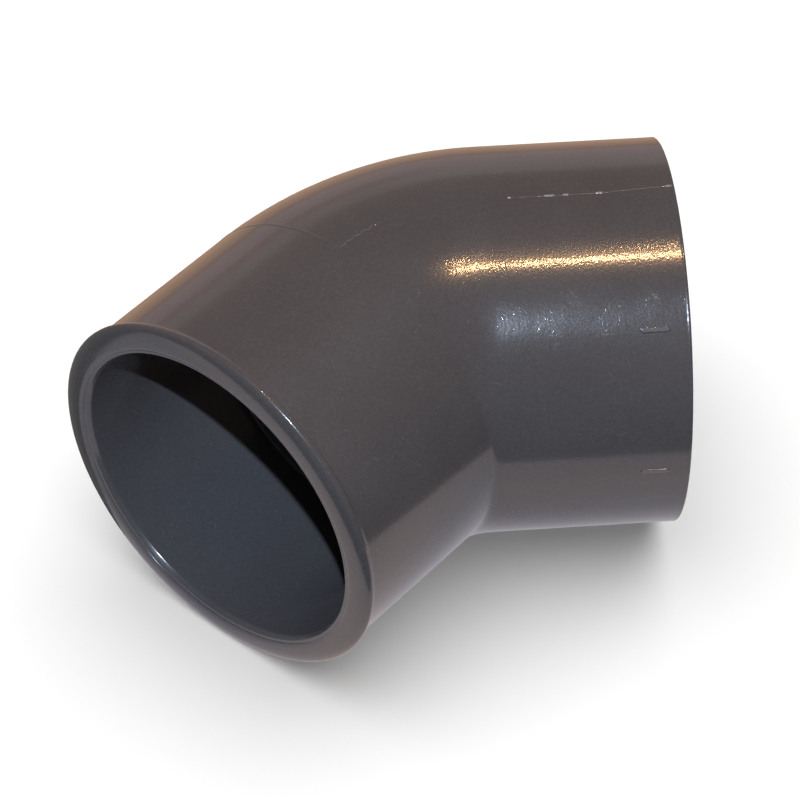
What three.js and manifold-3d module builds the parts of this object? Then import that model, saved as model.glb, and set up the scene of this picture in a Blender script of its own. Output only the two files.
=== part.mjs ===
// A 45 degree pressure pipe elbow in PVC-U, for two solvent cement joints on 110 mm pipe.
// Millimetres, +Z up. The elbow is one injection moulding, lying on its side: both axes are
// level. The plain socket points along +X, and the beaded socket points 45 degrees off -X,
// towards -Y. The origin is under the middle of the part, on the surface that it lies on.

import * as THREE from 'three';
import { mergeVertices } from 'three/addons/utils/BufferGeometryUtils.js';
import Module from 'manifold-3d';

// Driving dimensions
const PIPE_RADIUS = 55; // the socket holds a 110 mm pipe
const SOCKET_TAPER = 0.2; // the socket's mouth is this much wider in radius than its stop
const FLOW_RADIUS = 50; // the water way between the two stops
const BEND_ANGLE = THREE.MathUtils.degToRad(45);
const BEND_RADIUS = 70; // of the centreline
const STOP_DISTANCE = 29.5; // from the crossing of the axes to each pipe stop

const PLAIN_LEG_RADIUS = 65.2;
const PLAIN_LEG_LENGTH = 90.5; // from the crossing of the axes to the end face
const PLAIN_EDGE_RADIUS = 1.0;

const BEADED_LEG_RADIUS = 64.4;
const BEADED_LEG_LENGTH = 93.7;
const BEAD_RADIUS = 66.0;
const BEAD_CREST_DEPTH = 2.6; // from the end face back to the bead's widest ring
const BEAD_DEPTH = 5.8; // from the end face back to the bead's root
const BEADED_FACE_RADIUS = 60.9; // where the flat face turns into the rounded rim

const LEAD_IN_WIDTH = 1.1; // bevel that guides the pipe in
const LEAD_IN_DEPTH = 3.4;

const MARK_LENGTH = 9.6; // raised bars beside the plain end, for lining up the pipe
const MARK_WIDTH = 1.8;
const MARK_HEIGHT = 0.4;
const MARK_EDGE = 0.2;
const MARK_END_GAP = 6.9; // from the bar to the end face
const MARK_ANGLES = [135, 180]; // from the outer side of the bend, round to its inner side

// Fineness
const SEGMENTS_ROUND = 64;
const BEND_STEPS = 12;
const ROUND_STEPS = 4;

// The elbow is drawn straight, as a lathe profile of (radius, distance along the centreline),
// then bent. Distances run from the bend's middle, towards the plain end.
const BEND_HALF = (BEND_RADIUS * BEND_ANGLE) / 2;
const TANGENT = BEND_RADIUS * Math.tan(BEND_ANGLE / 2); // from the crossing to where the bend starts
const PLAIN_END = BEND_HALF + PLAIN_LEG_LENGTH - TANGENT;
const PLAIN_STOP = BEND_HALF + STOP_DISTANCE - TANGENT;
const BEADED_END = -(BEND_HALF + BEADED_LEG_LENGTH - TANGENT);
const BEADED_STOP = -PLAIN_STOP;
const SOCKET_MOUTH_RADIUS = PIPE_RADIUS + SOCKET_TAPER;

function quarterEllipse(centreRadius, centreDistance, radiusHalf, distanceHalf, from, to) {
  const curve = new THREE.EllipseCurve(
    centreRadius, centreDistance, radiusHalf, distanceHalf,
    THREE.MathUtils.degToRad(from), THREE.MathUtils.degToRad(to), to < from,
  );
  return curve.getPoints(ROUND_STEPS);
}

// The rounded rim, from the flat face out over the bead's crest and down to the leg.
function beadedRim() {
  const crestDistance = BEADED_END + BEAD_CREST_DEPTH;
  const rim = quarterEllipse(
    BEADED_FACE_RADIUS, crestDistance, BEAD_RADIUS - BEADED_FACE_RADIUS, BEAD_CREST_DEPTH, -90, 0,
  );
  const halfHeight = (BEAD_RADIUS - BEADED_LEG_RADIUS) / 2;
  const halfDepth = (BEAD_DEPTH - BEAD_CREST_DEPTH) / 2;
  const back = quarterEllipse(
    BEAD_RADIUS - halfHeight, crestDistance, halfHeight, halfDepth, 0, 90,
  );
  const root = quarterEllipse(
    BEADED_LEG_RADIUS + halfHeight, BEADED_END + BEAD_DEPTH, halfHeight, halfDepth, 270, 180,
  );
  return [...rim, ...back.slice(1), ...root.slice(1)];
}

// Stations through the bend for a wall whose radius runs from one value to the other.
function bendStations(fromRadius, toRadius, fromDistance, toDistance) {
  const stations = [];
  for (let step = 0; step <= BEND_STEPS; step += 1) {
    const share = step / BEND_STEPS;
    const radius = THREE.MathUtils.lerp(fromRadius, toRadius, THREE.MathUtils.smoothstep(share, 0, 1));
    stations.push(new THREE.Vector2(radius, THREE.MathUtils.lerp(fromDistance, toDistance, share)));
  }
  return stations;
}

function straightProfile() {
  const outside = [
    new THREE.Vector2(SOCKET_MOUTH_RADIUS + LEAD_IN_WIDTH, BEADED_END),
    ...beadedRim(),
    ...bendStations(BEADED_LEG_RADIUS, PLAIN_LEG_RADIUS, -BEND_HALF, BEND_HALF),
    ...quarterEllipse(
      PLAIN_LEG_RADIUS - PLAIN_EDGE_RADIUS, PLAIN_END - PLAIN_EDGE_RADIUS,
      PLAIN_EDGE_RADIUS, PLAIN_EDGE_RADIUS, 0, 90,
    ),
    new THREE.Vector2(SOCKET_MOUTH_RADIUS + LEAD_IN_WIDTH, PLAIN_END),
  ];
  const inside = [
    new THREE.Vector2(SOCKET_MOUTH_RADIUS, PLAIN_END - LEAD_IN_DEPTH),
    new THREE.Vector2(PIPE_RADIUS, PLAIN_STOP),
    ...bendStations(FLOW_RADIUS, FLOW_RADIUS, PLAIN_STOP, BEADED_STOP),
    new THREE.Vector2(PIPE_RADIUS, BEADED_STOP),
    new THREE.Vector2(SOCKET_MOUTH_RADIUS, BEADED_END + LEAD_IN_DEPTH),
  ];
  return [...outside, ...inside, outside[0]];
}

// Places a point of the straight body on the elbow: along is its distance on the centreline,
// aside its distance towards the outer side of the bend, and up its height above the axes.
function bent(along, aside, up) {
  const turned = THREE.MathUtils.clamp((BEND_HALF - along) / BEND_RADIUS, 0, BEND_ANGLE);
  const straight = along - (BEND_HALF - turned * BEND_RADIUS);
  const forward = new THREE.Vector2(Math.cos(turned), Math.sin(turned));
  const outward = new THREE.Vector2(-Math.sin(turned), Math.cos(turned));
  const place = new THREE.Vector2(TANGENT, -BEND_RADIUS);
  place.addScaledVector(outward, BEND_RADIUS + aside);
  place.addScaledVector(forward, straight);
  return new THREE.Vector3(place.x, place.y, up);
}

function bentBody() {
  const geometry = new THREE.LatheGeometry(straightProfile(), SEGMENTS_ROUND);
  const position = geometry.attributes.position;
  for (let i = 0; i < position.count; i += 1) {
    const place = bent(position.getY(i), position.getX(i), -position.getZ(i));
    position.setXYZ(i, place.x, place.y, place.z);
  }
  return geometry;
}

// A bar with round ends, standing out of the plain leg at an angle round its axis.
function alignmentMark(angle) {
  const half = MARK_WIDTH / 2 - MARK_EDGE;
  const reach = (MARK_LENGTH - MARK_WIDTH) / 2;
  const outline = new THREE.Shape();
  outline.absarc(reach, 0, half, -Math.PI / 2, Math.PI / 2, false);
  outline.absarc(-reach, 0, half, Math.PI / 2, (3 * Math.PI) / 2, false);
  const sunk = 1.5; // depth of the bar's foot inside the wall
  const geometry = new THREE.ExtrudeGeometry(outline, {
    depth: sunk + MARK_HEIGHT - 2 * MARK_EDGE,
    bevelEnabled: true,
    bevelSize: MARK_EDGE,
    bevelThickness: MARK_EDGE,
    bevelSegments: 2,
    curveSegments: 6,
  });
  const middle = PLAIN_LEG_LENGTH - MARK_END_GAP - MARK_LENGTH / 2;
  geometry.translate(middle, 0, PLAIN_LEG_RADIUS - sunk + MARK_EDGE);
  geometry.rotateX(THREE.MathUtils.degToRad(angle - 90));
  return geometry;
}

const wasm = await Module();
wasm.setup();

function solidFrom(geometry) {
  geometry.deleteAttribute('normal');
  geometry.deleteAttribute('uv');
  const merged = mergeVertices(geometry, 1e-4);
  return new wasm.Manifold(new wasm.Mesh({
    numProp: 3,
    vertProperties: new Float32Array(merged.attributes.position.array),
    triVerts: new Uint32Array(merged.index.array),
  }));
}

function geometryFrom(solid) {
  const mesh = solid.getMesh();
  const geometry = new THREE.BufferGeometry();
  geometry.setAttribute('position', new THREE.BufferAttribute(mesh.vertProperties, 3));
  geometry.setIndex(new THREE.BufferAttribute(mesh.triVerts, 1));
  geometry.computeVertexNormals();
  return geometry;
}

let solid = solidFrom(bentBody());
for (const angle of MARK_ANGLES) {
  solid = solid.add(solidFrom(alignmentMark(angle)));
}

const body = new THREE.Mesh(
  geometryFrom(solid),
  new THREE.MeshStandardMaterial({ color: 0x4a4547, roughness: 0.35, metalness: 0 }),
);
body.name = 'elbow_body';

// Stand the part on its origin.
body.geometry.computeBoundingBox();
const box = body.geometry.boundingBox;
body.position.set(-(box.min.x + box.max.x) / 2, -(box.min.y + box.max.y) / 2, -box.min.z);

const elbow = new THREE.Group();
elbow.add(body);

export default elbow;
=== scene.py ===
# A grey PVC-U pipe elbow lying on a white sheet: looks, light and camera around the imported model.
import math

import bpy
import numpy as np
from mathutils import Matrix, Quaternion, Vector


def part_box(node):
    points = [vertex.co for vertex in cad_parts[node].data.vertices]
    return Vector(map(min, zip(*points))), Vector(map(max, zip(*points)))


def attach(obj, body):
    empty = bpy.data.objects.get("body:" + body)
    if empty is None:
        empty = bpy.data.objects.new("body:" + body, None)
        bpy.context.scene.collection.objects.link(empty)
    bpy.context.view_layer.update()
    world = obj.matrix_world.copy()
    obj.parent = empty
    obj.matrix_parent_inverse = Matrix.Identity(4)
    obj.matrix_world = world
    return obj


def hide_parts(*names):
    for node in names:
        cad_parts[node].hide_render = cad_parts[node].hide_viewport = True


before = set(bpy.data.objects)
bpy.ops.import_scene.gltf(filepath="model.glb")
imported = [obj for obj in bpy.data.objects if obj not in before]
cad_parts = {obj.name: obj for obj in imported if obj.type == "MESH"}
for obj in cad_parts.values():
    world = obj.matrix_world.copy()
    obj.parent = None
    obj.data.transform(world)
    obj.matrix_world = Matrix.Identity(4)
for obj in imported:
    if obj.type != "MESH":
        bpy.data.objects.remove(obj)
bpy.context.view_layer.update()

MM = 0.001

# The moulding's dimensions, in millimetres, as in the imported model
PIPE_RADIUS = 55.0
SOCKET_TAPER = 0.2
FLOW_RADIUS = 50.0
BEND_ANGLE = math.radians(45)
BEND_RADIUS = 70.0
STOP_DISTANCE = 29.5
PLAIN_LEG_RADIUS = 65.2
PLAIN_LEG_LENGTH = 90.5
PLAIN_EDGE_RADIUS = 0.6
BEADED_LEG_RADIUS = 64.4
BEADED_LEG_LENGTH = 93.7
BEAD_RADIUS = 66.0
BEAD_CREST_DEPTH = 2.6
BEAD_DEPTH = 5.8
LEAD_IN_WIDTH = 1.1
LEAD_IN_DEPTH = 3.4
MARK_LENGTH = 9.6
MARK_WIDTH = 1.8
MARK_HEIGHT = 0.4
MARK_END_GAP = 6.9
MARK_ANGLES = (135, 180)  # round the leg, from the bend's outer side over the top

# Fine detail that only the looks have
MARK_ROUNDING = 0.3  # of the bars' upper edges
SEAM_HEIGHT = 0.12  # the flash left where the mould's parts met
SEAM_HALF_WIDTH = 0.19
LIP_DEPTH = 0.6  # of the narrow ring round the beaded mouth, behind the rim's edge
LIP_RADIUS = 57.3  # where that ring meets the rim
LIP_SLOPE = math.radians(58)  # of the bevel between the ring and the bore
RIM_EDGE_RADIUS = 59.0  # the rim's foremost edge
RIM_SLOPE_RADIUS = 60.0  # where the slope outside that edge turns into the rounding
RIM_SLOPE_DEPTH = 0.06
STOP_FILLET = 1.2
GUARD = 0.2  # a row this close beside a rounding keeps the flat next to it flat

# Distances on the centreline, from the bend's middle towards the plain end
BEND_HALF = BEND_RADIUS * BEND_ANGLE / 2
TANGENT = BEND_RADIUS * math.tan(BEND_ANGLE / 2)
PLAIN_END = BEND_HALF + PLAIN_LEG_LENGTH - TANGENT
PLAIN_STOP = BEND_HALF + STOP_DISTANCE - TANGENT
BEADED_END = -(BEND_HALF + BEADED_LEG_LENGTH - TANGENT)
BEADED_STOP = -PLAIN_STOP
RING_SEAM = -26.8  # the parting line round the bend's outer side
BURRS = ((34.5, 0.7), (47.6, 2.0), (53.0, 1.1), (64.0, 1.3), (87.0, 1.2))  # (middle, half length)
BURR_HEIGHT = 0.26
BURR_HALF_WIDTH = 0.6
TORN_SEAM = (-26.6, -8.0)  # where the line on top of the bend is ragged
EDGE_LIP = 0.05  # the raised edge of the plain end
MARK_MIDDLE = PLAIN_END - MARK_END_GAP - MARK_LENGTH / 2

# The crossing of the two axes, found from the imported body's box
body_low, body_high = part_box("elbow_body")
CROSSING = Vector((
    body_high.x - PLAIN_LEG_LENGTH * MM,
    body_high.y - PLAIN_LEG_RADIUS * MM,
    (body_low.z + body_high.z) / 2,
))


def smoothstep(value, low, high):
    share = np.clip((value - low) / (high - low), 0.0, 1.0)
    return share * share * (3 - 2 * share)


# ---------------------------------------------------------------- the moulding's surface


def run(start, end, step):
    """Points from start to just before end, about step apart; a point is (radius, distance)."""
    start, end = np.array(start), np.array(end)
    count = max(1, round(float(np.linalg.norm(end - start)) / step))
    return [tuple(start + (end - start) * i / count) for i in range(count)]


def arc(centre, radius_half, distance_half, start, end, steps):
    """Points of an ellipse's arc, both ends included; angles in degrees from the radius axis."""
    points = []
    for i in range(steps + 1):
        angle = math.radians(start + (end - start) * i / steps)
        radius = centre[0] + radius_half * math.cos(angle)
        points.append((radius, centre[1] + distance_half * math.sin(angle)))
    return points


def guarded(start, end, step):
    """A straight run that keeps its two ends flat: close rows beside both of them."""
    start, end = np.array(start), np.array(end)
    unit = (end - start) / np.linalg.norm(end - start)
    inner = run(start + unit * GUARD, end - unit * GUARD, step)
    return [tuple(start), *inner, tuple(end - unit * GUARD)]


def lip_rows():
    """From the beaded socket's bore out over its bevel and the narrow ring to the rim's edge."""
    mouth = PIPE_RADIUS + SOCKET_TAPER
    bore_round, ring_round = 2.0, 0.5
    ring = BEADED_END + LIP_DEPTH
    ring_radius = mouth + bore_round * (1 - math.sin(LIP_SLOPE)) + 0.97
    bevel_top = (ring_radius - ring_round * math.sin(LIP_SLOPE),
                 ring + ring_round * (1 - math.cos(LIP_SLOPE)))
    bevel_foot_radius = mouth + bore_round * (1 - math.sin(LIP_SLOPE))
    bevel_foot = (bevel_foot_radius,
                  bevel_top[1] + (bevel_top[0] - bevel_foot_radius) * math.tan(LIP_SLOPE))
    bore_centre = (mouth + bore_round, bevel_foot[1] + bore_round * math.cos(LIP_SLOPE))
    slope = math.degrees(LIP_SLOPE)
    rows = arc(bore_centre, bore_round, bore_round, 180, 270 - slope, 8)
    rows += run(bevel_foot, bevel_top, 0.3)[1:]
    rows += arc((ring_radius, ring + ring_round), ring_round, ring_round, 270 - slope, 270, 6)
    rows += [(LIP_RADIUS - 0.1, ring)]
    rows += arc((RIM_EDGE_RADIUS, ring), RIM_EDGE_RADIUS - LIP_RADIUS, LIP_DEPTH, 180, 270, 10)
    return rows


def rim_rows():
    """The rounded rim, from its foremost edge out over the bead and down to the leg."""
    crest = BEADED_END + BEAD_CREST_DEPTH
    rise = (BEAD_RADIUS - BEADED_LEG_RADIUS) / 2
    depth = (BEAD_DEPTH - BEAD_CREST_DEPTH) / 2
    first = math.radians(80)
    across = (BEAD_RADIUS - RIM_SLOPE_RADIUS) / (1 - math.cos(first))
    front_depth = (BEAD_CREST_DEPTH - RIM_SLOPE_DEPTH) / math.sin(first)
    rim = arc((BEAD_RADIUS - across, crest), across, front_depth, -80, 0, 24)
    slope = run((RIM_EDGE_RADIUS + 0.02, BEADED_END), rim[0], 0.3)[1:]
    back = arc((BEAD_RADIUS - rise, crest), rise, depth, 0, 90, 8)
    root = arc((BEADED_LEG_RADIUS + rise, BEADED_END + BEAD_DEPTH), rise, depth, 270, 180, 8)
    return [*slope, *rim, *back[1:], *root[1:]]


def leg_radius(along):
    """The outside radius, which grows a little through the bend."""
    share = smoothstep(along, -BEND_HALF, BEND_HALF)
    return BEADED_LEG_RADIUS + (PLAIN_LEG_RADIUS - BEADED_LEG_RADIUS) * share


def distances(start, end, step, fine=()):
    """Distances from start to end, with close ones round each (middle, half, step) in fine."""
    values = list(np.linspace(start, end, round((end - start) / step) + 1))
    for middle, half, close in fine:
        values = [v for v in values if abs(v - middle) > half + close / 2]
        values += list(np.linspace(middle - half, middle + half, round(2 * half / close) + 1))
    return sorted(values)


def outside_rows():
    """The outside from behind the bead to the plain end's rounded edge."""
    mark_half = MARK_LENGTH / 2
    fine = [
        (RING_SEAM, SEAM_HALF_WIDTH, SEAM_HALF_WIDTH / 3),
        (MARK_MIDDLE - mark_half + 0.45, 0.6, 0.12),
        (MARK_MIDDLE + mark_half - 0.45, 0.6, 0.12),
        ((TORN_SEAM[0] + TORN_SEAM[1]) / 2, (TORN_SEAM[1] - TORN_SEAM[0]) / 2, 0.4),
    ]
    fine += [(middle, half + 0.2, 0.2) for middle, half in BURRS]
    last = PLAIN_END - PLAIN_EDGE_RADIUS
    first = BEADED_END + BEAD_DEPTH
    fine += [(last - 0.6, 0.6, 0.1)]
    rows = distances(first + GUARD, last, 1.9, fine)[:-1]
    lip = EDGE_LIP * smoothstep(np.array(rows), last - 0.7, last)
    return [(float(leg_radius(d) + rise), float(d)) for d, rise in zip(rows, lip)]


def bore_rows():
    """The inside, from the plain end's face through both sockets to the beaded end's lip."""
    mouth = PIPE_RADIUS + SOCKET_TAPER
    round_lip = 0.25
    rows = []
    rows += arc((mouth + LEAD_IN_WIDTH + round_lip, PLAIN_END - round_lip),
                round_lip, round_lip, 90, 160, 4)
    rows += guarded((mouth + 0.05, PLAIN_END - LEAD_IN_DEPTH),
                    (PIPE_RADIUS, PLAIN_STOP + STOP_FILLET), 5)
    rows += arc((PIPE_RADIUS - STOP_FILLET, PLAIN_STOP + STOP_FILLET),
                STOP_FILLET, STOP_FILLET, 0, -90, 5)
    rows += arc((FLOW_RADIUS + STOP_FILLET, PLAIN_STOP - STOP_FILLET),
                STOP_FILLET, STOP_FILLET, 90, 180, 5)
    rows += guarded((FLOW_RADIUS, PLAIN_STOP - 2 * STOP_FILLET),
                    (FLOW_RADIUS, BEADED_STOP + 2 * STOP_FILLET), 3)
    rows += arc((FLOW_RADIUS + STOP_FILLET, BEADED_STOP + STOP_FILLET),
                STOP_FILLET, STOP_FILLET, 180, 270, 5)
    rows += arc((PIPE_RADIUS - STOP_FILLET, BEADED_STOP - STOP_FILLET),
                STOP_FILLET, STOP_FILLET, 90, 0, 5)
    rows += guarded((PIPE_RADIUS, BEADED_STOP - STOP_FILLET - 2 * GUARD),
                    (mouth, lip_rows()[0][1] + 2 * GUARD), 5)
    return rows


def plain_edge_rows():
    centre = (PLAIN_LEG_RADIUS + EDGE_LIP - PLAIN_EDGE_RADIUS, PLAIN_END - PLAIN_EDGE_RADIUS)
    edge = arc(centre, PLAIN_EDGE_RADIUS, PLAIN_EDGE_RADIUS, 0, 90, 7)
    mouth = PIPE_RADIUS + SOCKET_TAPER + LEAD_IN_WIDTH + 0.25
    return [*edge, (edge[-1][0] - GUARD, PLAIN_END), (mouth + GUARD, PLAIN_END)]


def columns():
    """Angles round the body: even ones, with close ones at the bars and the parting line."""
    per_mm = math.degrees(1 / PLAIN_LEG_RADIUS)
    half = MARK_WIDTH / 2
    bar = [half - inset for inset in (-0.25, -0.05, 0.0, 0.012, 0.05, 0.11, 0.2, MARK_ROUNDING)]
    bar += [0.42, 0.2, 0.0]
    line = [SEAM_HALF_WIDTH * step / 3 for step in range(4)]
    line += [BURR_HALF_WIDTH * share for share in (0.5, 0.65, 0.8, 0.9, 1.0, 1.3)]
    angles = set()
    close = [(a, bar) for a in MARK_ANGLES] + [(90, line), (270, line)]
    for angle in range(0, 360, 2):
        near = any(abs((angle - a + 180) % 360 - 180) < max(o) * per_mm + 0.4 for a, o in close)
        if not near:
            angles.add(float(angle))
    for middle, offsets in close:
        for offset in offsets:
            angles.add(round((middle + offset * per_mm) % 360, 5))
            angles.add(round((middle - offset * per_mm) % 360, 5))
    return np.array(sorted(angles))


def on_torn_seam(along):
    start, end = TORN_SEAM
    return smoothstep(along, start - 0.6, start) * (1 - smoothstep(along, end - 6.0, end))


def parting_drift(along):
    """How far, in degrees, the parting line strays from the top over the bend."""
    drift = -1.2 + 1.9 * smoothstep(along, -10.0, 30.0) - 1.4 * smoothstep(along, 60.0, 90.0)
    wander = np.sin(1.7 * along) + 0.6 * np.sin(3.9 * along)
    return drift + 0.2 * wander * on_torn_seam(along)


def seam_profile(offset, half_width=SEAM_HALF_WIDTH):
    """The share of its height that a ridge has at a sideways offset from its middle."""
    share = np.clip(np.abs(offset) / half_width, 0.0, 1.0)
    return (1 - share ** 2) ** 2


def burrs(along, across):
    """The share of their height that the stubs of roughly ripped flash have at each point."""
    height = np.zeros_like(along)
    for middle, half in BURRS:
        height = height + 1 - smoothstep(np.abs(along - middle), half * 0.6, half)
    teeth = 0.6 + 0.4 * np.sin(9.0 * along + 5.0 * across) * np.sin(4.1 * along - 7.0 * across)
    return height * teeth * seam_profile(across, BURR_HALF_WIDTH)


def relief(angle, along, followed):
    """What stands proud of the outside, the bars and the flash of the mould's parting lines, and where
    pale paint stands in for light: painted glints on the burrs and the ragged line, painted sheen on
    the bars' tops. angle is where a column is, followed where it would be if the parting line ran
    straight."""
    height = np.zeros(np.broadcast(angle, along).shape)
    glint_and_sheen_paint = np.zeros_like(height)
    reach = (MARK_LENGTH - MARK_WIDTH) / 2
    for mark in MARK_ANGLES:
        across = np.radians((angle - mark + 180) % 360 - 180) * PLAIN_LEG_RADIUS
        beyond = np.maximum(np.abs(along - MARK_MIDDLE) - reach, 0.0)
        inset = MARK_WIDTH / 2 - np.hypot(across, beyond)
        share = np.clip(inset / MARK_ROUNDING, 0.0, 1.0)
        height = np.maximum(height, MARK_HEIGHT * np.sqrt(1 - (1 - share) ** 2))
        # painted sheen: the bars' tops are painted a little paler
        glint_and_sheen_paint = np.maximum(glint_and_sheen_paint, 0.1 * smoothstep(share, 0.8, 1.0))
    shown = smoothstep(along, 28.0, 46.0) + smoothstep(-along, 8.0, 13.0)
    shown = SEAM_HEIGHT * shown * smoothstep(along, RING_SEAM - 0.2, RING_SEAM + 0.2)
    for side in (90, 270):
        across = np.radians((followed - side + 180) % 360 - 180) * PLAIN_LEG_RADIUS
        stubs = burrs(along, across)
        height = np.maximum(height, seam_profile(across) * shown + BURR_HEIGHT * stubs)
        # painted glints: the burrs are painted pale grey where they would catch the light
        glint_and_sheen_paint = np.maximum(glint_and_sheen_paint, stubs)
        # painted highlight: a pale line along the ragged stretch of the seam over the bend
        glint_and_sheen_paint = np.maximum(glint_and_sheen_paint, 0.09 * seam_profile(across, 0.3) * on_torn_seam(along))
    outer_side = smoothstep(np.cos(np.radians(angle)), -0.01, 0.02)
    height = np.maximum(height, SEAM_HEIGHT * seam_profile(along - RING_SEAM) * outer_side)
    return height, glint_and_sheen_paint


def bent(along, aside, up):
    """Points of the straight body, in millimetres, placed on the elbow in metres."""
    turned = np.clip((BEND_HALF - along) / BEND_RADIUS, 0.0, BEND_ANGLE)
    straight = along - (BEND_HALF - turned * BEND_RADIUS)
    across = BEND_RADIUS + aside
    x = TANGENT - np.sin(turned) * across + np.cos(turned) * straight
    y = -BEND_RADIUS + np.cos(turned) * across + np.sin(turned) * straight
    return np.stack([x, y, up], axis=-1) * MM + np.array(CROSSING)


def moulding_mesh():
    """One closed grid: rows along the wall's section, columns round the axis."""
    edge = plain_edge_rows()
    outside = outside_rows()
    rim = rim_rows()
    lip = lip_rows()
    rows = [*lip, *rim, *outside, *edge, *bore_rows()]
    first_leg = len(lip) + len(rim) - 1
    last_leg = len(lip) + len(rim) + len(outside)
    radius = np.array([r for r, _ in rows])[:, None]
    along = np.array([d for _, d in rows])[:, None]
    base = columns()[None, :]

    drift = parting_drift(along)
    near_top = 1 - smoothstep(np.abs(base - 90), 4.0, 16.0)
    near_bottom = 1 - smoothstep(np.abs(base - 270), 4.0, 16.0)
    angle = base + drift * near_top - drift * near_bottom
    height, glint_and_sheen_paint = relief(angle, along, base)
    on_leg = np.zeros((len(rows), 1))
    on_leg[first_leg:last_leg + 1] = 1
    height = height * on_leg
    reach = radius + height
    turn = np.radians(angle)
    points = bent(along, reach * np.cos(turn), reach * np.sin(turn))

    row_count, column_count = height.shape
    index = np.arange(row_count * column_count).reshape(row_count, column_count)
    down = np.roll(index, -1, axis=0)
    over = np.roll(index, -1, axis=1)
    across = np.roll(down, -1, axis=1)
    faces = np.stack([index, down, across, over], axis=-1).reshape(-1, 4)
    mesh = bpy.data.meshes.new("elbow_moulding")
    mesh.from_pydata(points.reshape(-1, 3).tolist(), [], faces.tolist())
    mesh.validate()
    # the painted glints and sheen, kept to the leg
    mesh.attributes.new("glint_and_sheen_paint", "FLOAT", "POINT").data.foreach_set("value", (glint_and_sheen_paint * on_leg).ravel())
    mesh.polygons.foreach_set("use_smooth", [True] * len(mesh.polygons))
    mesh.update()
    return mesh


# ---------------------------------------------------------------- material


def node(tree, kind, inputs=None, **settings):
    made = tree.nodes.new(kind)
    for name, value in settings.items():
        setattr(made, name, value)
    for name, value in (inputs or {}).items():
        if isinstance(value, bpy.types.NodeSocket):
            tree.links.new(value, made.inputs[name])
        else:
            made.inputs[name].default_value = value
    return made


def noise(tree, place, scale, detail=2.0, roughness=0.5):
    made = node(tree, "ShaderNodeTexNoise",
                {"Vector": place, "Scale": scale, "Detail": detail, "Roughness": roughness})
    return made.outputs["Fac"]


def span(tree, value, low, high, to_low, to_high):
    made = node(tree, "ShaderNodeMapRange",
                {"Value": value, "From Min": low, "From Max": high,
                 "To Min": to_low, "To Max": to_high})
    return made.outputs["Result"]


def maths(tree, operation, a, b):
    made = node(tree, "ShaderNodeMath", {0: a, 1: b}, operation=operation)
    return made.outputs["Value"]


def vector_maths(tree, operation, a, b=None, output="Vector"):
    inputs = {0: a} if b is None else {0: a, 1: b}
    return node(tree, "ShaderNodeVectorMath", inputs, operation=operation).outputs[output]


def faded(tree, value, full, none):
    """One where value is at most full, falling smoothly to zero at none."""
    made = node(tree, "ShaderNodeMapRange",
                {"Value": value, "From Min": full, "From Max": none, "To Min": 1.0, "To Max": 0.0},
                interpolation_type="SMOOTHSTEP")
    return made.outputs["Result"]


def scratches(tree, place, spacing, length, width, share):
    """Short straight scratches at random angles, one in each cell of a grid of that spacing,
    kept in a share of the cells: thin random discs, where they cut the surface."""
    cells = node(tree, "ShaderNodeTexVoronoi", {"Vector": place, "Scale": 1 / spacing})
    chance = cells.outputs["Color"]
    offset = vector_maths(tree, "SUBTRACT", place, cells.outputs["Position"])
    lean = vector_maths(tree, "NORMALIZE", vector_maths(tree, "SUBTRACT", chance, (0.5, 0.5, 0.5)))
    across = vector_maths(tree, "DOT_PRODUCT", offset, lean, "Value")
    line = faded(tree, maths(tree, "ABSOLUTE", across, 0.0), width * 0.3, width)
    reach = faded(tree, vector_maths(tree, "LENGTH", offset, output="Value"),
                  length * 0.3, length * 0.5)
    red = node(tree, "ShaderNodeSeparateColor", {"Color": chance}).outputs["Red"]
    pick = maths(tree, "FRACT", maths(tree, "MULTIPLY", red, 17.0), 0.0)
    kept = maths(tree, "LESS_THAN", pick, share)
    return maths(tree, "MULTIPLY", maths(tree, "MULTIPLY", line, reach), kept)


def scuffed(tree, place):
    """How scuffed the surface is, from a little everywhere to one in the handled patches."""
    ragged = node(tree, "ShaderNodeTexNoise", {"Vector": place, "Scale": 260.0, "Detail": 3.0})
    shift = vector_maths(tree, "SUBTRACT", ragged.outputs["Color"], (0.5, 0.5, 0.5))
    shift = vector_maths(tree, "MULTIPLY", shift, (0.008, 0.008, 0.008))
    wandering = vector_maths(tree, "ADD", place, shift)
    amount = span(tree, noise(tree, place, 45.0, 2.0), 0.4, 0.75, 0.12, 0.5)
    for along, angle, size in SCUFFS:
        turn = math.radians(angle)
        radius = float(leg_radius(along))
        spot = bent(along, radius * math.cos(turn), radius * math.sin(turn)).tolist()
        distance = vector_maths(tree, "DISTANCE", wandering, spot, "Value")
        patch = faded(tree, distance, size * 0.2 * MM, size * MM)
        amount = maths(tree, "MAXIMUM", amount, patch)
    return amount


GREY_PVCU = (0.068, 0.0615, 0.0605, 1)
GLINT_PAINT_GREY = (0.36, 0.36, 0.37, 1)  # painted glints and sheen: pale grey over the burrs, the ragged line over the bend and the bars' tops
# Handled patches on the upper front side: (distance along, angle round, radius in millimetres)
SCUFFS = (
    (31, 130.5, 9), (44, 131, 8), (60, 133.5, 5), (51, 124.5, 4.5), (64, 131, 7),
    (76, 127.5, 7), (87, 127.5, 5), (-2.7, 141.6, 2.6), (-13, 131, 2), (45, 138, 3),
)


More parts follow.
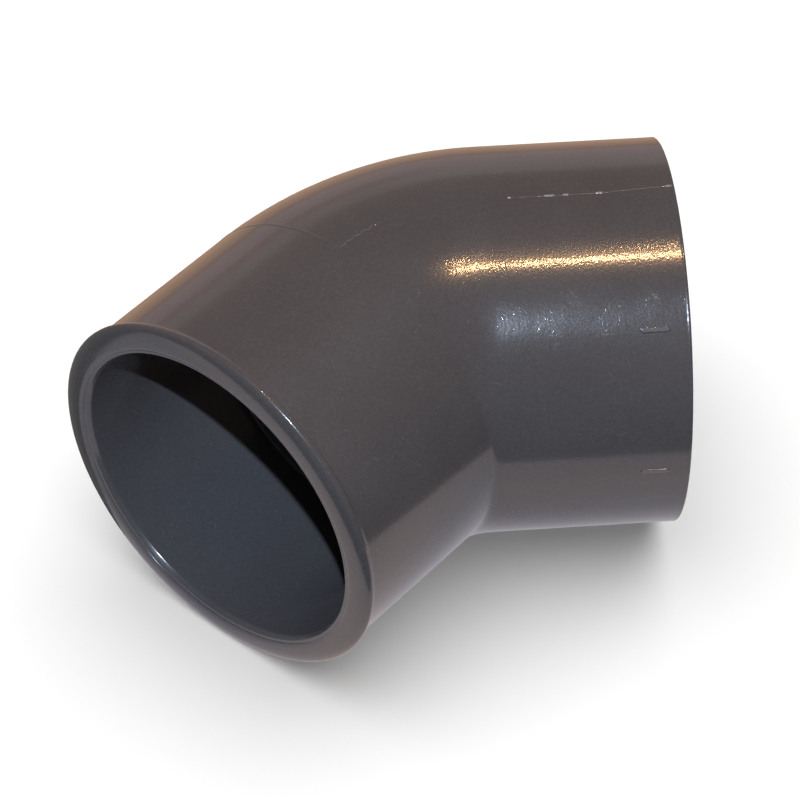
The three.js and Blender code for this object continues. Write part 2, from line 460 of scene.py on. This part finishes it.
def pvcu_material():
    """Semi-gloss grey PVC-U with faint flow mottling, dust, fine scratches and scuffs, and pale painted
    glints and sheen on the flash and the bars.
    """
    material = bpy.data.materials.new("grey_pvcu")
    material.use_nodes = True
    tree = material.node_tree
    shader = tree.nodes["Principled BSDF"]
    place = node(tree, "ShaderNodeTexCoord").outputs["Object"]

    scuffs = scuffed(tree, place)
    fine = scratches(tree, place, 0.0011, 0.0010, 0.00008, 0.8)
    long = scratches(tree, place, 0.0040, 0.0050, 0.00008, 0.6)
    dust = scratches(tree, place, 0.0050, 0.0006, 0.00030, 0.5)
    wear = maths(tree, "MULTIPLY", maths(tree, "MAXIMUM", fine, long), scuffs)
    marks = maths(tree, "MAXIMUM", wear, maths(tree, "MULTIPLY", dust, 0.8))

    flow = noise(tree, place, 35.0, 3.0)
    grain = noise(tree, place, 900.0, 2.0)
    tone = maths(tree, "ADD", span(tree, flow, 0.3, 0.7, -0.05, 0.05),
                 span(tree, grain, 0.3, 0.7, -0.07, 0.07))
    tone = maths(tree, "ADD", tone, maths(tree, "MULTIPLY", marks, 1.1))
    colour = node(tree, "ShaderNodeHueSaturation",
                  {"Color": GREY_PVCU, "Value": maths(tree, "ADD", tone, 1.0)})
    # Painted glints and sheen: pale grey mixed in over the burrs, the ragged seam and the bars' tops.
    glint_and_sheen_paint = node(tree, "ShaderNodeAttribute", attribute_name="glint_and_sheen_paint").outputs["Fac"]
    paled = node(tree, "ShaderNodeMixRGB", {"Fac": glint_and_sheen_paint, "Color1": colour.outputs["Color"],
                                            "Color2": GLINT_PAINT_GREY})
    tree.links.new(paled.outputs["Color"], shader.inputs["Base Color"])

    haze = span(tree, noise(tree, place, 60.0, 4.0), 0.35, 0.7, 0.19, 0.22)
    matt = span(tree, noise(tree, place, 2400.0, 2.0), 0.4, 0.6, -0.04, 0.05)
    rough = maths(tree, "ADD", maths(tree, "ADD", haze, matt), maths(tree, "MULTIPLY", scuffs, 0.05))
    tree.links.new(rough, shader.inputs["Roughness"])
    shader.inputs["IOR"].default_value = 1.53
    shader.inputs["Specular IOR Level"].default_value = 0.22
    shader.inputs["Coat Weight"].default_value = 0.65  # the moulded skin's sharper gloss
    shader.inputs["Coat Roughness"].default_value = 0.1

    combed = vector_maths(tree, "MULTIPLY", place, (1.0, 0.28, 0.28))  # drawn out round the leg
    texture = maths(tree, "ADD", maths(tree, "MULTIPLY", noise(tree, place, 1300.0, 0.0), 0.9),
                    maths(tree, "MULTIPLY", noise(tree, combed, 1000.0, 1.0), 0.6))
    height = maths(tree, "SUBTRACT", texture, maths(tree, "MULTIPLY", wear, 0.4))
    bump = node(tree, "ShaderNodeBump",
                {"Height": height, "Strength": 1.0, "Distance": 0.00002})
    tree.links.new(bump.outputs["Normal"], shader.inputs["Normal"])
    tree.links.new(bump.outputs["Normal"], shader.inputs["Coat Normal"])
    return material


def make_moulding():
    mesh = moulding_mesh()
    piece = bpy.data.objects.new("elbow_moulding", mesh)
    bpy.context.scene.collection.objects.link(piece)
    mesh.materials.append(pvcu_material())
    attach(piece, "root")
    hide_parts("elbow_body")
    return piece


# ---------------------------------------------------------------- surroundings

SHEET_EDGES = (-0.60, -0.154, 0.190, -0.002)  # left, front, right, back, in the frame's metres
SHEET_DROP = 0.0005  # below the floor that the camera sees
SHADOW_PAINT_SPAN = (-0.085, -0.045)  # from front to back, where the sheet's colour changes into its painted shadow under the part
FLOOR_HALF = 3.0
WHITE = (0.86, 0.86, 0.86)


def floor_material(name, front, back):
    """Matt white; from the sheet's front edge to its back it goes from one colour to the other, which
    on the sheet is painted light and shade.
    """
    material = bpy.data.materials.new(name)
    material.use_nodes = True
    tree = material.node_tree
    shader = tree.nodes["Principled BSDF"]
    place = node(tree, "ShaderNodeTexCoord").outputs["Object"]
    parts = node(tree, "ShaderNodeSeparateXYZ", {"Vector": place})
    share = span(tree, parts.outputs["Y"], *SHADOW_PAINT_SPAN, 0.0, 1.0)
    colour = node(tree, "ShaderNodeMixRGB", {"Fac": share, "Color1": (*front, 1), "Color2": (*back, 1)})
    value = span(tree, noise(tree, place, 8.0, 2.0), 0.3, 0.7, 0.99, 1.01)
    shade = node(tree, "ShaderNodeHueSaturation", {"Color": colour.outputs["Color"], "Value": value})
    tree.links.new(shade.outputs["Color"], shader.inputs["Base Color"])
    shader.inputs["Roughness"].default_value = 0.9
    shader.inputs["Specular IOR Level"].default_value = 0.0
    return material


def flat_piece(name, edges, height, *colours):
    """A level rectangle of the stage; edges are its left, front, right and back."""
    left, front, right, back = edges
    points = [(left, front, height), (right, front, height), (right, back, height),
              (left, back, height)]
    mesh = bpy.data.meshes.new(name)
    mesh.from_pydata(points, [], [(0, 1, 2, 3)])
    mesh.materials.append(floor_material(name, *colours))
    piece = bpy.data.objects.new(name, mesh)
    bpy.context.scene.collection.objects.link(piece)
    return piece


def make_floor():
    """The white floor, and under it the smaller, dimmer sheet that lights the part from below and shows
    in its gloss in place of the floor. The sheet's colour is painted light and shade: warm lamp light
    in front, and a dimmer, bluer painted shadow under the part, where no lamp's shadow falls on it."""
    half = FLOOR_HALF
    floor = flat_piece("floor", (-half, -half, half, half), 0, WHITE, WHITE)
    floor.visible_diffuse = False
    floor.visible_glossy = False
    floor.visible_shadow = False
    # painted light and shade: the sheet is warm in front, and dimmer and bluer under the part as a
    # painted shadow
    sheet = flat_piece("sheet", SHEET_EDGES, -SHEET_DROP, (0.73, 0.61, 0.58),
                       (0.47, 0.45, 0.50))
    sheet.visible_camera = False
    return floor, sheet


def ramp_node(tree, value, stops):
    made = node(tree, "ShaderNodeValToRGB", {"Fac": value})
    elements = made.color_ramp.elements
    while len(elements) < len(stops):
        elements.new(0.5)
    for element, (elevation, colour) in zip(elements, stops):
        element.position = (math.sin(math.radians(elevation)) + 1) / 2
        element.color = (*colour, 1)
    return made.outputs["Color"]


# The room behind the part, as elevations in degrees and colours from low to high
BELOW = (
    (-50, (0.03, 0.02, 0.02)),
    (-42, (0.34, 0.22, 0.15)),
    (-30, (0.58, 0.37, 0.25)),
    (-13, (0.56, 0.37, 0.27)),
    (-10.5, (0.33, 0.19, 0.14)),
    (-8, (0.50, 0.40, 0.40)),
)
ABOVE = (
    (22, (0.25, 0.20, 0.18)),
    (32, (0.14, 0.13, 0.12)),
    (50, (0.04, 0.04, 0.04)),
)


def make_world():
    """White behind the part; in its gloss, a dim room that is only light behind the part."""
    world = bpy.data.worlds.new("studio")
    bpy.context.scene.world = world
    world.use_nodes = True
    tree = world.node_tree
    tree.nodes.clear()
    direction = node(tree, "ShaderNodeTexCoord").outputs["Generated"]
    parts = node(tree, "ShaderNodeSeparateXYZ", {"Vector": direction})
    height = span(tree, parts.outputs["Z"], -1, 1, 0, 1)
    plain = ramp_node(tree, height, (*BELOW, (18, (0.57, 0.48, 0.51)), *ABOVE))
    banded = ramp_node(tree, height, (
        *BELOW,
        (4.5, (0.55, 0.43, 0.44)),
        (6.5, (0.40, 0.26, 0.25)),
        (8.5, (0.40, 0.26, 0.25)),
        (11, (0.49, 0.40, 0.41)),
        (18, (0.48, 0.40, 0.40)),
        *ABOVE,
    ))
    rightward = span(tree, parts.outputs["X"], -0.06, 0.06, 0.0, 1.0)
    wall = node(tree, "ShaderNodeMixRGB",
                {"Fac": rightward, "Color1": banded, "Color2": plain}).outputs["Color"]
    sideways = span(tree, maths(tree, "ABSOLUTE", parts.outputs["X"], 0.0), 0.3, 0.6, 0.0, 1.0)
    wall = node(tree, "ShaderNodeMixRGB",
                {"Fac": sideways, "Color1": wall, "Color2": (0.24, 0.23, 0.23, 1)}).outputs["Color"]
    behind = span(tree, parts.outputs["Y"], 0.0, 0.35, 0.0, 1.0)
    room = node(tree, "ShaderNodeMixRGB",
                {"Fac": behind, "Color1": (0.058, 0.054, 0.049, 1), "Color2": wall})
    seen = node(tree, "ShaderNodeBackground", {"Color": (1, 1, 1, 1), "Strength": 1.0})
    lit = node(tree, "ShaderNodeBackground", {"Color": room.outputs["Color"], "Strength": 1.0})
    rays = node(tree, "ShaderNodeLightPath")
    mix = node(tree, "ShaderNodeMixShader", {"Fac": rays.outputs["Is Camera Ray"]})
    tree.links.new(lit.outputs["Background"], mix.inputs[1])
    tree.links.new(seen.outputs["Background"], mix.inputs[2])
    output = node(tree, "ShaderNodeOutputWorld")
    tree.links.new(mix.outputs["Shader"], output.inputs["Surface"])


def aimed(place, target):
    """A rotation that points an object's -Z from place at target, with its X level."""
    return (Vector(target) - Vector(place)).to_track_quat("-Z", "Y")


LAMP_HEIGHT = 2.26  # of the warm lamps above the axes
SKY_STRENGTH = 3.8


def area_light(name, place, target, size, power, colour):
    light = bpy.data.lights.new(name, "AREA")
    light.shape = "RECTANGLE"
    light.size, light.size_y = size
    light.energy = power
    light.color = colour
    lamp = bpy.data.objects.new(name, light)
    lamp.location = place
    lamp.rotation_mode = "QUATERNION"
    lamp.rotation_quaternion = aimed(place, target)
    bpy.context.scene.collection.objects.link(lamp)
    return lamp


def sun_light(name, strength, angle):
    """Even light from straight above, as wide as the angle, that doesn't show in gloss."""
    light = bpy.data.lights.new(name, "SUN")
    light.energy = strength
    light.angle = angle
    lamp = bpy.data.objects.new(name, light)
    lamp.visible_glossy = False
    bpy.context.scene.collection.objects.link(lamp)
    return lamp


def around_part(azimuth, elevation, distance, target=CROSSING):
    """A place at that distance from the target; azimuth 0 is in front, on the -Y side."""
    azimuth, elevation = math.radians(azimuth), math.radians(elevation)
    level = math.cos(elevation)
    back = Vector((math.sin(azimuth) * level, -math.cos(azimuth) * level, math.sin(elevation)))
    return Vector(target) + back * distance


def ceiling_lamp(name, place, turn, size, power):
    """A warm lamp that shines straight down; its long side is turned that far from +X."""
    above = CROSSING + Vector((*place, LAMP_HEIGHT))
    lamp = area_light(name, above, above - Vector((0, 0, 1)), size, power, (1.0, 0.58, 0.27))
    lamp.rotation_quaternion = Quaternion((0, 0, 1), math.radians(turn))
    return lamp


def make_lights(part, floor, sheet):
    part_only = bpy.data.collections.new("lit_by_lamps")
    part_only.objects.link(part)
    key = area_light("key", around_part(-5.7, 52.2, 1.6), CROSSING, (0.026, 0.017),
                     28.8, (0.614, 0.772, 1.0))
    overhead = area_light("overhead", CROSSING + Vector((0, 0, 1.5)), CROSSING, (0.6, 0.6),
                          7.1, (1.0, 0.60, 0.24))
    overhead.visible_glossy = False
    strip = ceiling_lamp("strip", (0.40, -0.048), 18, (0.38, 0.02), 10.0)
    stub = ceiling_lamp("stub", (0.48, 0.17), 50, (0.08, 0.02), 1.9)
    for lamp in (key, overhead, strip, stub):
        lamp.light_linking.receiver_collection = part_only

    floor_light = (
        ("sky", floor, SKY_STRENGTH / 2, True),
        ("glow", floor, SKY_STRENGTH / 2, False),
        ("under", sheet, SKY_STRENGTH, False),
    )
    for name, piece, strength, shadowed in floor_light:
        only = bpy.data.collections.new(name + "_on")
        only.objects.link(piece)
        lamp = sun_light(name, strength, math.radians(80))
        lamp.light_linking.receiver_collection = only
        if not shadowed:
            lamp.light_linking.blocker_collection = only  # the part casts no shadow in it


def make_camera():
    """The photograph's view: from the front, well above, with a long lens."""
    aim = CROSSING + Vector((-0.0002, -0.0135, -0.0131))
    place = around_part(-5.58, 45.80, 1.2015, aim)
    data = bpy.data.cameras.new("camera")
    data.lens = 159.95
    data.sensor_width = 36.0
    camera = bpy.data.objects.new("camera", data)
    turn = aimed(place, aim).to_matrix() @ Matrix.Rotation(math.radians(0.63), 3, "Z")
    camera.matrix_world = Matrix.Translation(place) @ turn.to_4x4()
    bpy.context.scene.collection.objects.link(camera)
    bpy.context.scene.camera = camera


make_camera()
moulding = make_moulding()
white_floor, dim_sheet = make_floor()
make_world()
make_lights(moulding, white_floor, dim_sheet)

view_settings = bpy.context.scene.view_settings
view_settings.view_transform = "Standard"
view_settings.look = "None"
